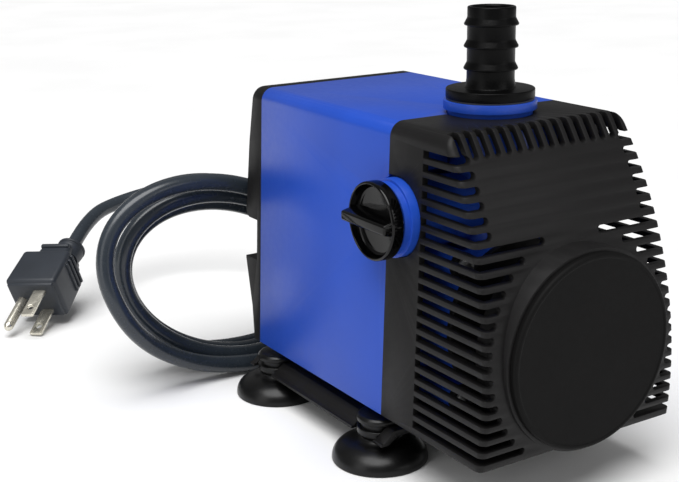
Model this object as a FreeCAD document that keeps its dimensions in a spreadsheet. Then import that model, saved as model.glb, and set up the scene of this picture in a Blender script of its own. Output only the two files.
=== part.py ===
import FreeCAD, Part
import math
import os
import re
from types import SimpleNamespace

# Submersible pond and fountain pump: a synchronous motor potted in a blue housing drives a magnetic
# rotor and impeller, a slotted cage strains the water, and a hose barb leaves upwards.
# +Z is up, the intake grille faces -Y and the flow knob -X. The origin is on the floor under the pump.

V = FreeCAD.Vector

SIZES = dict(
    # body outline
    body_base=21.5, body_tall=110.0, body_wide_low=89.7, body_wide_high=80.0,
    seam_place=-21.0, housing_long=93.5, housing_wall=2.6, front_wall=3.0, edge_round=5.5,
    # front cover
    cover_deep=60.0, cover_wall=2.4, bow_radius=150.0, bow_tall=22.0, lip_round=2.5,
    slot_count=22, slot_pitch=4.67, slot_tall=2.8, slot_low=3.8, slot_behind=20.0, slot_inner=33.5,
    slot_clear=4.1, slot_straight=0.965,
    top_slot_count=16, top_slot_pitch=4.76, top_slot_wide=2.8, top_slot_drop=7.2, top_slot_behind=28.5,
    hood_deep=15.0,
    # front cap and its boss
    boss_radius=36.4, boss_proud=1.4, cap_radius=35.2, cap_proud=2.7, cap_spigot=5.0, port_radius=33.2,
    cap_wall=2.0, cap_chamfer=0.8, fit_gap=0.2,
    # rotor and its can
    volute_lift=4.2, magnet_radius=11.0, magnet_long=54.0, can_gap=1.2, can_wall=1.2, can_long=62.0,
    shaft_radius=1.5, shaft_play=0.25, bush_radius=3.6, bush_long=4.5, socket_wall=2.0, end_play=0.4,
    washer_radius=3.2, washer_thick=0.8, impeller_radius=24.0, impeller_hub=5.0, disc_thick=1.5,
    blade_count=6, blade_thick=1.6, blade_deep=11.0, blade_short=1.0,
    # volute casing, its duct, outlet tower and valve branch
    volute_radius=31.0, volute_wall=3.5, volute_deep=21.5, volute_back=3.0, eye_radius=14.0,
    outlet_back=-5.4, tower_radius=15.4, tower_bore=11.0, tower_floor=3.0, duct_half=11.0,
    duct_wall=2.5, collar_proud=1.55, collar_low=1.7, collar_tall=3.2, niche_gap=0.4, niche_wall=2.0,
    valve_lift=10.7, valve_radius=9.9, branch_wall=2.4, branch_flare=1.6, branch_rib=0.6,
    collar_out=3.0, ring_out=2.4, valve_port=7.5, valve_end=9.8, valve_gap=0.3,
    post_out=4.5, post_radius=5.0, screw_radius=1.6, screw_head=3.4, screw_head_tall=2.6,
    screw_long=33.0, screw_gap=0.2, seal_edge=1.6, seal_thick=1.4,
    # impeller cover
    cover_plate=2.5, inlet_radius=9.5, inlet_wall=2.0, inlet_long=7.0, spoke_wide=2.4, lip_deep=1.0,
    # flow knob
    knob_radius=14.2, knob_deep=5.2, knob_gap=0.6, knob_dish=3.0, knob_rim=1.3, grip_out=3.4, grip_tall=7.0,
    knob_seal_thick=1.2, seal_inset=6.0,
    # hose barb
    flange_radius=16.1, flange_thick=3.5, seal_tall=0.6, barb_radius=8.65, barb_bore=7.15, ring_radius=9.8,
    ring_first=6.7, ring_pitch=7.85, ring_tall=2.6, ring_land=0.5, ring_count=3, barb_tall=29.0,
    neck_tall=3.0, neck_radius=9.3, spigot_gap=0.4, spigot_clear=10.1,
    # stator
    core_start=21.0, core_long=38.0, core_half=27.0, leg_wide=12.0, core_low=17.5, core_high=96.5,
    pole_high=50.5, yoke_low=82.5, pole_gap=3.0, core_gap=0.5, spool_wall=1.2, spool_reach=12.0,
    spool_low=53.5, spool_high=80.5, spool_over=6.0, wire_inset=0.7,
    # potting and back cover
    resin_start=69.5, resin_long=11.0, back_thick=7.0, back_draft=2.1, back_round=1.5, back_bulge=12.9,
    bulge_start=14.4, bulge_tall=55.5, bulge_end=86.0, bulge_blend=6.0, bulge_round=30.0, channel_low=36.0,
    channel_high=53.5, channel_floor=3.3, back_wall=2.4, strip_thick=5.0, strip_inset=1.2,
    boss_inset=6.5, boss_round=4.5, boss_long=12.0, back_screw=1.4, back_head=3.2, back_sink=3.0,
    # cord gland
    gland_side=30.0, gland_tall=44.7, gland_flange=8.0, gland_flange_thick=2.2, gland_long=25.8,
    gland_thick=6.6, gland_thin=4.9,
    # base plate and suction cups
    plate_front=26.0, plate_behind=3.5, plate_half=48.0, plate_web=2.4, web_tall=13.6, platform_half=28.0,
    rail_low=10.8, rail_lip=1.1, rail_top=15.9, rail_top_half=42.0, rail_out_half=47.0, step_run=3.0,
    cup_side=40.0, cup_front=-13.0, cup_inset=7.5, cup_radius=18.5, cup_neck=7.3, cup_head=8.8,
    cup_head_tall=2.6, cup_bevel=1.0, cup_steps=8, cup_curve=0.9, cup_edge=1.2, cup_shoulder=8.2,
    cup_hollow=5.2, cup_lip=1.6, notch_gap=0.3,
    plate_screw_front=8.0, plate_screw_rear=38.0, floor_boss=4.0, floor_boss_tall=9.0,
    # cord and plug
    cord_radius=3.75, coil_layer=15.8, coil_near=87.6, coil_side=-48.0, coil_half_long=69.0,
    coil_half_tall=43.0, coil_tilt=22.0, coil_band=13.5, tie_thick=0.9, tie_reach=17.4, tie_back=1.2,
    plug_long=40.0, plug_shoulder=14.0, plug_throat=5.0, plug_wide=24.0, plug_below=9.0, plug_above=18.5,
    shoulder_wide=18.0, shoulder_below=5.5, shoulder_above=12.5, neck_wall=1.2, collar_thick=6.3,
    collar_rim=7.4,
    collar_long=3.0, blade_wide=6.35, blade_gap=12.7, blade_sheet=1.5, blade_long=17.5, blade_hole=1.6,
    blade_eye=12.25,
    pin_radius=2.4, pin_long=20.6, pin_offset=11.9, plug_round=2.5,
)

# The route of the cord, from the gland to the coil and from the coil to the plug.
LEAD_ROUTE = [(30, 108.8, 66.2), (30, 127, 66.2), (30, 143.3, 66.1), (30, 157.7, 57.8), (30.2, 166, 43.4),
              (30.2, 166, 26.8), (30, 157.7, 12.4), (29.5, 143.3, 4.2), (26.5, 120, 4.2), (12, 97.5, 4.1),
              (-13, 91.4, 4)]
END_ROUTE = [(-10.2, 115.3, 69), (8, 117, 55.5), (24, 122, 50), (41, 135, 47.5), (51, 157, 47.5),
             (52, 184, 48.5), (44, 211, 50), (24, 237, 50.5), (-3, 254, 49), (-31, 257.5, 44.5),
             (-54.7, 245.3, 42), (-69.892, 229.751, 32.145)]
PLUG_PLACE = (-71.8, 227.8, 30.9)
PLUG_AXIS = (-0.636, -0.651, -0.415)
PLUG_SIDE = (-0.344, -0.242, 0.907)

doc = FreeCAD.newDocument("pond_pump")
sheet = doc.addObject("Spreadsheet::Sheet", "Sizes")
for row, (alias, value) in enumerate(SIZES.items(), 1):
    sheet.set("A%d" % row, alias.replace("_", " "))
    sheet.set("B%d" % row, repr(value))
    sheet.setAlias("B%d" % row, alias)
doc.recompute()
s = SimpleNamespace(**{alias: sheet.get(alias) for alias in SIZES})
pieces = []

# Places that several pieces share, as rules on the sheet's cells.
BODY_TOP = "body_base + body_tall"
ROTOR_Z = "body_base + volute_radius + volute_lift"
VALVE_Z = "body_base + volute_lift + 2 * volute_radius + valve_lift"
TOWER_FOOT = ROTOR_Z + " + volute_radius - volute_lift"
BRANCH = "valve_radius + valve_gap + branch_wall"
VALVE_POCKET = BRANCH + " + branch_flare + niche_gap"
OUTLET_Y = "seam_place + outlet_back"
HOUSING_END = "seam_place + housing_long"
CUP_REAR = HOUSING_END + " - cup_inset"
VOLUTE_FRONT = "seam_place - volute_deep"
COLLAR_TOP = "body_base + body_tall + collar_low + collar_tall"
FLANGE_LOW = COLLAR_TOP + " + seal_tall"
CORE_Y = "seam_place + core_start"

TURNS = {"x": FreeCAD.Rotation(V(0, 1, 0), 90), "y": FreeCAD.Rotation(V(1, 0, 0), -90),
         "z": FreeCAD.Rotation()}


def bind(obj, path, rule):
    """Bind one property to a rule on the sheet: every word in the rule is a cell's alias."""
    obj.setExpression(path, re.sub(r"[a-z_]{3,}", r"Sizes.\g<0>", str(rule)))


def add(kind, name):
    return doc.addObject(kind, name)


def set_base(obj, place):
    for axis in "xyz":
        bind(obj, "Placement.Base." + axis, place.get(axis, "0"))


def rod(name, radius, axis, low, high, **place):
    """A cylinder along an axis, from low to high."""
    obj = add("Part::Cylinder", name)
    bind(obj, "Radius", radius)
    bind(obj, "Height", "(%s) - (%s)" % (high, low))
    obj.Placement.Rotation = TURNS[axis]
    set_base(obj, dict(place, **{axis: low}))
    return obj


def cone(name, radius_low, radius_high, axis, low, high, **place):
    obj = add("Part::Cone", name)
    bind(obj, "Radius1", radius_low)
    bind(obj, "Radius2", radius_high)
    bind(obj, "Height", "(%s) - (%s)" % (high, low))
    obj.Placement.Rotation = TURNS[axis]
    set_base(obj, dict(place, **{axis: low}))
    return obj


def block(name, x, y, z):
    """A box between two rules on each axis."""
    obj = add("Part::Box", name)
    for prop, axis, (low, high) in zip(("Length", "Width", "Height"), "xyz", (x, y, z)):
        bind(obj, prop, "(%s) - (%s)" % (high, low))
        bind(obj, "Placement.Base." + axis, low)
    return obj


def both(half):
    return "-(%s)" % half, half


def fuse(name, *parts):
    obj = add("Part::MultiFuse", name)
    obj.Shapes = list(parts)
    obj.Refine = True
    return obj


def cut(name, base, *tools):
    obj = add("Part::Cut", name)
    obj.Base = base
    obj.Tool = tools[0] if len(tools) == 1 else fuse(name + "_tools", *tools)
    obj.Refine = True
    return obj


def common(name, first, second):
    obj = add("Part::Common", name)
    obj.Base = first
    obj.Tool = second
    return obj


def tube(name, outer, inner, axis, low, high, **place):
    return cut(name, rod(name + "_outer", outer, axis, low, high, **place),
               rod(name + "_inner", inner, axis, low, high, **place))


def piece(label, obj):
    """Name a finished sub-part: its label is also its file's name."""
    obj.Label = label
    pieces.append(obj)
    return obj


def corners(points, radii, closed=True):
    """Line segments and tangent arcs through a row of points, each corner rounded by its own radius."""
    points = [V(*p) for p in points]
    count = len(points)
    parts, starts = [], {}
    for i in range(count):
        before, here, after = points[i - 1], points[i], points[(i + 1) % count]
        if radii[i] <= 0 or (not closed and i in (0, count - 1)):
            starts[i] = (here, None, here)
            continue
        to_before, to_after = (before - here).normalize(), (after - here).normalize()
        half = to_before.getAngle(to_after) / 2
        back = radii[i] / math.tan(half)
        middle = (to_before + to_after).normalize()
        top = here + middle * (radii[i] / math.sin(half) - radii[i])
        starts[i] = (here + to_before * back, top, here + to_after * back)
    for i in range(count):
        first, top, last = starts[i]
        if top is not None:
            parts.append(Part.Arc(first, top, last))
        if i + 1 < count or closed:
            following = starts[(i + 1) % count][0]
            if (following - last).Length > 1e-6:
                parts.append(Part.LineSegment(last, following))
    return parts


def sketch_in(body, role, geometry, offset=0.0):
    plane = next(f for f in body.Origin.OriginFeatures if f.Role == role)
    sketch = body.newObject("Sketcher::SketchObject", body.Name + "_sketch")
    sketch.AttachmentSupport = [(plane, "")]
    sketch.MapMode = "FlatFace"
    sketch.AttachmentOffset = FreeCAD.Placement(V(0, 0, offset), FreeCAD.Rotation())
    sketch.addGeometry(geometry, False)
    return sketch


def pad(name, role, geometry, length, offset=0.0, reverse=False, middle=False):
    """A PartDesign body with one padded sketch. XZ_Plane pads towards -Y, YZ_Plane towards +X."""
    body = add("PartDesign::Body", name)
    sketch = sketch_in(body, role, geometry, offset)
    feature = body.newObject("PartDesign::Pad", name + "_pad")
    feature.Profile = sketch
    bind(feature, "Length", length)
    feature.Reversed = reverse
    feature.Midplane = middle
    sketch.Visibility = False
    return body


def turned(name, profile, place, direction=(0, 0, 1)):
    """A PartDesign body revolved about Z from (radius, height) points, then placed."""
    body = add("PartDesign::Body", name)
    geometry = corners([(r, h, 0) for r, h in profile], [0] * len(profile))
    sketch = sketch_in(body, "XZ_Plane", geometry)
    feature = body.newObject("PartDesign::Revolution", name + "_turn")
    feature.Profile = sketch
    feature.ReferenceAxis = (sketch, ["V_Axis"])
    feature.Angle = 360
    body.Placement = FreeCAD.Placement(V(*place), FreeCAD.Rotation(V(0, 0, 1), V(*direction)))
    return body


def rounded(name, base, radius, chosen):
    """Fillet the edges of a finished solid that a test picks."""
    doc.recompute()
    obj = add("Part::Fillet", name)
    obj.Base = base
    obj.Edges = [(i, radius, radius) for i, edge in enumerate(base.Shape.Edges, 1) if chosen(edge)]
    return obj


def rotor_height():
    return s.body_base + s.volute_radius + s.volute_lift


def valve_height():
    return s.body_base + s.volute_lift + 2 * s.volute_radius + s.valve_lift


def half_wide(tall):
    """Half of the body's width at a height above its underside: both sides lean in."""
    lean = (s.body_wide_low - s.body_wide_high) / 2 / s.body_tall
    return s.body_wide_low / 2 - lean * tall


def section(inset, top_round, low_round, low=0.0, high=None):
    """The body's cross-section in X and Z, drawn in by an inset."""
    high = s.body_tall if high is None else high
    low, high = low + inset, high - inset
    points = [(-half_wide(low) + inset, s.body_base + low, 0), (half_wide(low) - inset, s.body_base + low, 0),
              (half_wide(high) - inset, s.body_base + high, 0), (-half_wide(high) + inset,
                                                                 s.body_base + high, 0)]
    return corners(points, [low_round, low_round, top_round, top_round])


def prism(name, inset, start, length, top_round, low_round):
    """The body's cross-section carried from start towards +Y."""
    return pad(name, "XZ_Plane", section(inset, top_round, low_round), length, -start, reverse=True)


# ------------------------------------------------------------------ motor housing and what it holds

def post_places():
    reach = (s.volute_radius + s.post_out) / math.sqrt(2)
    return [(i * reach, k * reach) for i in (-1, 1) for k in (-1, 1)]


def motor_housing():
    inner_round = s.edge_round - s.housing_wall
    shell = prism("housing_outer", 0, s.seam_place, "housing_long", s.edge_round, 0)
    hollow = prism("housing_hollow", s.housing_wall, s.seam_place + s.front_wall, "housing_long - front_wall",
                   inner_round, 0)
    inside = prism("housing_inside", 0, s.seam_place, "housing_long", s.edge_round, 0)
    can = rod("can_outer", "magnet_radius + can_gap + can_wall", "y", "seam_place",
              "seam_place + can_long + can_wall + front_wall", z=ROTOR_Z)
    niche = rod("niche_outer", "tower_radius + niche_gap + niche_wall", "z",
                TOWER_FOOT + " - niche_gap - niche_wall", BODY_TOP, y=OUTLET_Y)
    valve = rod("valve_niche_outer", VALVE_POCKET + " + niche_wall", "x", "-body_wide_low / 2", "0",
                y=OUTLET_Y, z=VALVE_Z)
    posts = [rod("post_boss", "screw_radius + niche_wall", "y", "seam_place",
                 "seam_place + front_wall + screw_long / 3",
                 x=str(x), z=ROTOR_Z + " + (%r)" % z) for x, z in post_places()]
    corner_bosses = [rod("corner_boss", "boss_round", "y", HOUSING_END + " - boss_long", HOUSING_END, x=x,
                         z=z)
                     for x, z in corner_places()]
    floor_bosses = [rod("floor_boss", "floor_boss", "z", "body_base", "body_base + floor_boss_tall", y=y)
                    for y in ("plate_screw_front", "plate_screw_rear")]
    walls = fuse("housing_walls", cut("housing_shell", shell, hollow),
                 common("housing_fittings", inside, fuse("housing_bosses", can, niche, valve, *posts,
                                                         *corner_bosses,
                                                         *floor_bosses)))
    can_bore = rod("can_bore", "magnet_radius + can_gap", "y", "seam_place",
                   "seam_place + can_long - bush_long",
                   z=ROTOR_Z)
    bush_bore = rod("bush_bore", "bush_radius", "y", "seam_place", "seam_place + can_long", z=ROTOR_Z)
    pocket = rod("niche_bore", "tower_radius + niche_gap", "z", TOWER_FOOT + " - niche_gap",
                 BODY_TOP + " + edge_round", y=OUTLET_Y)
    valve_pocket = rod("valve_niche_bore", VALVE_POCKET, "x", "-body_wide_low / 2", "0",
                       y=OUTLET_Y, z=VALVE_Z)
    holes = [rod("post_hole", "screw_radius", "y", "seam_place", "seam_place + screw_long / 3", x=str(x),
                 z=ROTOR_Z + " + (%r)" % z) for x, z in post_places()]
    corner_holes = [rod("corner_hole", "back_screw", "y", HOUSING_END + " - boss_long + screw_head",
                        HOUSING_END, x=x,
                        z=z) for x, z in corner_places()]
    floor_holes = [rod("floor_hole", "back_screw", "z", "body_base",
                       "body_base + floor_boss_tall - back_wall", y=y)
                   for y in ("plate_screw_front", "plate_screw_rear")]
    piece("motor_housing", cut("motor_housing", walls, can_bore, bush_bore, pocket, valve_pocket, *holes,
                               *corner_holes, *floor_holes))


def corner_places():
    """The four corners where the back cover is screwed on."""
    low = "body_base + boss_inset"
    high = BODY_TOP + " - boss_inset"
    return [(side + "(body_wide_high / 2 - boss_inset)", z) for side in ("-", "") for z in (low, high)]


def stator():
    z = ("body_base + core_low", "body_base + core_high")
    deep = (CORE_Y, CORE_Y + " + core_long")
    core = block("core_block", both("core_half"), deep, z)
    window = block("core_window", both("core_half - leg_wide"), deep, ("body_base + pole_high",
                                                                       "body_base + yoke_low"))
    bore = rod("core_bore", "magnet_radius + can_gap + can_wall + core_gap", "y", *deep, z=ROTOR_Z)
    gap = block("pole_gap", both("pole_gap"), deep, ("body_base + core_low", "body_base + pole_high"))
    piece("stator_core", cut("stator_core", core, window, bore, gap))
    for side, sign in (("left", "-"), ("right", "")):
        middle = sign + "(core_half - leg_wide / 2)"

        def sheath(name, reach, over, low, high):
            return block(name, (middle + " - (%s)" % reach, middle + " + " + reach),
                         (CORE_Y + " - (%s)" % over, CORE_Y + " + core_long + " + over), (low, high))

        low, high = "body_base + spool_low", "body_base + spool_high"
        leg = sheath("leg_hole", "leg_wide / 2", "0", low, high)
        wound = ("leg_wide / 2 + spool_wall", "spool_wall")
        spool = fuse("spool", sheath("spool_tube", *wound, low, high),
                     sheath("spool_foot", "spool_reach", "spool_over", low, low + " + spool_wall"),
                     sheath("spool_head", "spool_reach", "spool_over", high + " - spool_wall", high))
        piece("bobbin_" + side, cut("bobbin_" + side, spool, leg))
        wire = sheath("wire", "spool_reach - wire_inset", "spool_over - wire_inset", low + " + spool_wall",
                      high + " - spool_wall")
        piece("winding_" + side, cut("winding_" + side, wire,
                                     sheath("wire_hole", *wound, low + " + spool_wall",
                                            high + " - spool_wall")))


def potting_resin():
    piece("potting_resin", prism("potting_resin", s.housing_wall, s.seam_place + s.resin_start, "resin_long",
                                 s.edge_round - s.housing_wall, 0))


def rotor():
    bore = "shaft_radius + shaft_play"
    start = "seam_place + can_long - bush_long - washer_thick - 2 * end_play - magnet_long"
    rear = "seam_place + can_long - bush_long - washer_thick - 2 * end_play"
    piece("rotor_magnet", tube("rotor_magnet", "magnet_radius", bore, "y", start, rear, z=ROTOR_Z))
    disc_back = VOLUTE_FRONT + " + lip_deep + end_play + blade_deep + disc_thick"
    disc_front = VOLUTE_FRONT + " + lip_deep + end_play + blade_deep"
    hub = rod("impeller_hub", "impeller_hub", "y", VOLUTE_FRONT + " + washer_thick + 2 * end_play", start,
              z=ROTOR_Z)
    disc = rod("impeller_disc", "impeller_radius", "y", disc_front, disc_back, z=ROTOR_Z)
    blades = pad("impeller_blades", "XZ_Plane", blade_outlines(), "blade_deep",
                 -(s.seam_place - s.volute_deep + s.lip_deep + s.end_play + s.blade_deep))
    hole = rod("impeller_bore", bore, "y", VOLUTE_FRONT, start, z=ROTOR_Z)
    piece("impeller", cut("impeller", fuse("impeller_solid", hub, disc, blades), hole))
    piece("rotor_shaft", rod("rotor_shaft", "shaft_radius", "y", VOLUTE_FRONT + " - bush_long + end_play",
                             "seam_place + can_long - end_play", z=ROTOR_Z))
    piece("front_shaft_bush", tube("front_shaft_bush", "bush_radius", "shaft_radius", "y",
                                   VOLUTE_FRONT + " - bush_long", VOLUTE_FRONT, z=ROTOR_Z))
    piece("rear_shaft_bush", tube("rear_shaft_bush", "bush_radius", "shaft_radius", "y",
                                  "seam_place + can_long - bush_long", "seam_place + can_long", z=ROTOR_Z))
    washers = [tube("washer", "washer_radius", "shaft_radius", "y", low, high, z=ROTOR_Z)
               for low, high in ((VOLUTE_FRONT, VOLUTE_FRONT + " + washer_thick"),
                                 ("seam_place + can_long - bush_long - washer_thick",
                                  "seam_place + can_long - bush_long"))]
    piece("thrust_washers", fuse("thrust_washers", *washers))


def blade_outlines():
    """Straight radial blades about the rotor's axis."""
    outlines = []
    for i in range(int(s.blade_count)):
        turn = 2 * math.pi * i / s.blade_count
        along = V(math.cos(turn), math.sin(turn), 0)
        across = V(-along.y, along.x, 0) * (s.blade_thick / 2)
        middle = V(0, rotor_height(), 0)
        inner = middle + along * (s.impeller_hub - s.blade_thick / 4)
        outer = middle + along * (s.impeller_radius - s.blade_short)
        outlines += corners([tuple(p) for p in (inner - across, outer - across, outer + across,
                                                inner + across)],
                            [0] * 4)
    return outlines


# ------------------------------------------------------------------ volute, valve and outlet

def volute_casing():
    drum = rod("drum", "volute_radius", "y", VOLUTE_FRONT, "seam_place", z=ROTOR_Z)
    posts = [rod("post", "post_radius", "y", VOLUTE_FRONT, "seam_place", x=str(x), z=ROTOR_Z + " + (%r)" % z)
             for x, z in post_places()]
    duct = block("duct", both("duct_half"), (OUTLET_Y + " - duct_half - duct_wall", "seam_place"),
                 (ROTOR_Z, TOWER_FOOT + " + tower_floor"))
    tower = rod("tower", "tower_radius", "z", TOWER_FOOT, COLLAR_TOP, y=OUTLET_Y)
    collar = rod("tower_collar", "tower_radius + collar_proud", "z", BODY_TOP + " + collar_low", COLLAR_TOP,
                 y=OUTLET_Y)
    side = "%r" % -half_wide(valve_height() - s.body_base)
    branch = rod("branch", BRANCH, "x", side + " - collar_out - ring_out", "0", y=OUTLET_Y, z=VALVE_Z)
    ring = rod("branch_ring", BRANCH + " + branch_rib", "x", side + " - collar_out - ring_out", side,
               y=OUTLET_Y, z=VALVE_Z)
    flare = rod("branch_flare", BRANCH + " + branch_flare", "x", side + " - collar_out",
                side + " + collar_out", y=OUTLET_Y,
                z=VALVE_Z)
    solid = fuse("volute_solid", drum, duct, tower, collar, branch, ring, flare, *posts)
    chamber = rod("chamber", "volute_radius - volute_wall", "y", VOLUTE_FRONT, "seam_place - volute_back",
                  z=ROTOR_Z)
    eye = rod("magnet_way", "eye_radius", "y", VOLUTE_FRONT, "seam_place", z=ROTOR_Z)
    duct_bore = block("duct_bore", both("duct_half - duct_wall"),
                      (OUTLET_Y + " - duct_half", "seam_place - volute_back"),
                      (ROTOR_Z, TOWER_FOOT + " + tower_floor"))
    tower_bore = rod("tower_bore", "tower_bore", "z", TOWER_FOOT + " + tower_floor", COLLAR_TOP,
                     y=OUTLET_Y)
    valve_bore = rod("valve_bore", "valve_radius + valve_gap", "x", side + " - collar_out - ring_out",
                     "valve_end + valve_gap", y=OUTLET_Y, z=VALVE_Z)
    holes = [rod("post_way", "screw_radius + screw_gap", "y", VOLUTE_FRONT, "seam_place", x=str(x),
                 z=ROTOR_Z + " + (%r)" % z) for x, z in post_places()]
    piece("volute_casing", cut("volute_casing", solid, chamber, eye, duct_bore, tower_bore, valve_bore,
                               seal_groove("seal_groove"), *holes))
    piece("volute_seal", seal_groove("volute_seal"))


def seal_groove(name):
    """The O-ring's place in the volute's back face."""
    return tube(name, "volute_radius - seal_edge + seal_thick / 2",
                "volute_radius - seal_edge - seal_thick / 2", "y",
                "seam_place - seal_thick",
                "seam_place", z=ROTOR_Z)


def impeller_cover():
    front = VOLUTE_FRONT + " - cover_plate"
    plate = rod("cover_plate", "volute_radius", "y", front, VOLUTE_FRONT, z=ROTOR_Z)
    lip = rod("cover_lip", "volute_radius - volute_wall - fit_gap", "y", VOLUTE_FRONT,
              VOLUTE_FRONT + " + lip_deep",
              z=ROTOR_Z)
    ears = [rod("ear", "post_radius", "y", front, VOLUTE_FRONT, x=str(x), z=ROTOR_Z + " + (%r)" % z)
            for x, z in post_places()]
    inlet = rod("inlet", "inlet_radius + inlet_wall", "y", VOLUTE_FRONT + " - inlet_long", VOLUTE_FRONT,
                z=ROTOR_Z)
    eye = rod("inlet_bore", "inlet_radius", "y", VOLUTE_FRONT + " - inlet_long", VOLUTE_FRONT + " + lip_deep",
              z=ROTOR_Z)
    holes = [rod("ear_hole", "screw_radius + screw_gap", "y", front, VOLUTE_FRONT, x=str(x),
                 z=ROTOR_Z + " + (%r)" % z) for x, z in post_places()]
    ring = cut("cover_ring", fuse("cover_solid", plate, lip, inlet, *ears), eye, *holes)
    low, high = VOLUTE_FRONT + " - bush_long", VOLUTE_FRONT
    hub = rod("bush_hub", "bush_radius + socket_wall", "y", low, high, z=ROTOR_Z)
    spokes = block("spokes", both("inlet_radius + inlet_wall / 2"), (low, high),
                   (ROTOR_Z + " - spoke_wide / 2", ROTOR_Z + " + spoke_wide / 2"))
    bush_bore = rod("hub_bore", "bush_radius", "y", low, high, z=ROTOR_Z)
    piece("impeller_cover", cut("impeller_cover", fuse("cover_with_hub", ring, hub, spokes), bush_bore))
    head = VOLUTE_FRONT + " - cover_plate - screw_head_tall"
    screws = [fuse("volute_screw", rod("screw_shank", "screw_radius", "y", front, front + " + screw_long",
                                       x=str(x), z=ROTOR_Z + " + (%r)" % z),
                   rod("screw_cap", "screw_head", "y", head, front, x=str(x), z=ROTOR_Z + " + (%r)" % z))
              for x, z in post_places()]
    piece("volute_screws", fuse("volute_screws", *screws))


def flow_valve():
    side = -half_wide(valve_height() - s.body_base) - s.collar_out - s.ring_out
    outer_face = "%r" % side
    knob_back = outer_face + " - knob_gap"
    barrel = rod("barrel", "valve_radius", "x", knob_back, "valve_end", y=OUTLET_Y, z=VALVE_Z)
    port = rod("barrel_port", "valve_port", "z", "body_base", BODY_TOP, y=OUTLET_Y)
    groove = seal_ring("barrel_groove", outer_face)
    piece("valve_barrel", cut("valve_barrel", barrel, port, groove))
    piece("knob_seal", seal_ring("knob_seal", outer_face))
    face = knob_back + " - knob_deep"
    disc = rod("knob_disc", "knob_radius", "x", face, knob_back, y=OUTLET_Y, z=VALVE_Z)
    dish = rod("knob_dish", "knob_radius - knob_rim", "x", face, face + " + knob_dish", y=OUTLET_Y, z=VALVE_Z)
    z0, y0 = valve_height(), s.seam_place + s.outlet_back
    grip_low = side - s.knob_gap - s.knob_deep + s.knob_dish
    grip_out = grip_low - s.knob_dish - s.grip_out
    reach, half = s.knob_radius - s.fit_gap, s.grip_tall / 2
    grip_points = [(y0 + i * reach, z0 + k * half, 0) for i, k in ((-1, -1), (1, -1), (1, 1), (-1, 1))]
    grip = pad("knob_grip", "YZ_Plane", corners(grip_points, [half - s.fit_gap] * 4), "knob_dish + grip_out",
               grip_out)
    round_bar = common("knob_bar", grip, rod("knob_limit", "knob_radius", "x", "%r" % grip_out, knob_back,
                                             y=OUTLET_Y, z=VALVE_Z))
    piece("flow_knob", fuse("flow_knob", cut("knob_cup", disc, dish), round_bar))


def seal_ring(name, outer_face):
    low = outer_face + " + seal_inset"
    return tube(name, "valve_radius", "valve_radius - knob_seal_thick", "x", low, low + " + knob_seal_thick",
                y=OUTLET_Y, z=VALVE_Z)


def hose_barb():
    base = s.body_base + s.body_tall + s.collar_low + s.collar_tall + s.seal_tall
    spigot, low_end = s.tower_bore - s.spigot_gap, valve_height() + s.valve_radius + s.spigot_clear - base
    profile = [(s.barb_bore, low_end), (spigot, low_end),
               (spigot, 0), (s.flange_radius, 0), (s.flange_radius, s.flange_thick),
               (s.neck_radius, s.flange_thick), (s.neck_radius, s.flange_thick + s.neck_tall),
               (s.barb_radius, s.flange_thick + s.neck_tall + s.ring_land)]
    for i in range(int(s.ring_count)):
        low = s.flange_thick + s.ring_first + i * s.ring_pitch
        profile += [(s.barb_radius, low), (s.ring_radius, low), (s.ring_radius, low + s.ring_land),
                    (s.barb_radius, low + s.ring_tall)]
    top = s.flange_thick + s.barb_tall
    profile += [(s.barb_radius, top), (s.barb_bore, top)]
    piece("hose_barb", turned("hose_barb", profile, (0, s.seam_place + s.outlet_back, base)))
    piece("outlet_seal", tube("outlet_seal", "flange_radius - fit_gap", "tower_bore - spigot_gap", "z",
                              COLLAR_TOP, FLANGE_LOW,
                              y=OUTLET_Y))


# ------------------------------------------------------------------ front cover

def bow(inset):
    """The cover's side outline in Y and Z: flat back, top and bottom, and a bowed front."""
    radius = s.bow_radius - inset
    centre_y = s.seam_place - s.cover_deep + s.bow_radius
    centre_z = s.body_base + s.bow_tall

    def on_bow(z):
        return V(centre_y - math.sqrt(radius ** 2 - (z - centre_z) ** 2), z, 0)

    low, high = s.body_base + inset, s.body_base + s.body_tall - inset
    back = s.seam_place
    return [Part.LineSegment(V(back, high, 0), V(back, low, 0)), Part.LineSegment(V(back, low, 0),
                                                                                  on_bow(low)),
            Part.Arc(on_bow(low), on_bow((low + high) / 2), on_bow(high)),
            Part.LineSegment(on_bow(high), V(back, high, 0))]


def stadium(low, high, middle, half, axis):
    """A slot's outline: square at its far end and round at its near end, along X or Z."""
    sign = 1 if high > low else -1
    near = low + sign * half
    square = [(near, middle - half), (high, middle - half), (high, middle + half), (near, middle + half)]
    arc = [(near, middle + half), (low, middle), (near, middle - half)]
    if axis == "z":
        square, arc = [(b, a) for a, b in square], [(b, a) for a, b in arc]
    square, arc = [V(a, b, 0) for a, b in square], [V(a, b, 0) for a, b in arc]
    return [Part.LineSegment(a, b) for a, b in zip(square, square[1:])] + [Part.Arc(*arc)]


def side_slots():
    """Slots that wrap from each side round onto the front, and stop short of the round boss."""
    outlines = []
    reach = s.boss_radius + s.slot_clear
    for i in range(int(s.slot_count)):
        tall = s.slot_low + i * s.slot_pitch
        drop = abs(s.body_base + tall - rotor_height())
        inner = math.sqrt(reach ** 2 - drop ** 2) if drop < reach * s.slot_straight else s.slot_inner
        for side in (-1, 1):
            outlines += stadium(side * inner, side * s.body_wide_low, s.body_base + tall, s.slot_tall / 2,
                                "x")
    return outlines


def top_slots():
    outlines = []
    top = s.body_base + s.body_tall
    half = s.top_slot_wide / 2
    for i in range(int(s.top_slot_count)):
        x = (i - (s.top_slot_count - 1) / 2) * s.top_slot_pitch
        outlines += stadium(top - s.top_slot_drop - half, top + s.edge_round, x, half, "z")
    return outlines


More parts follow.
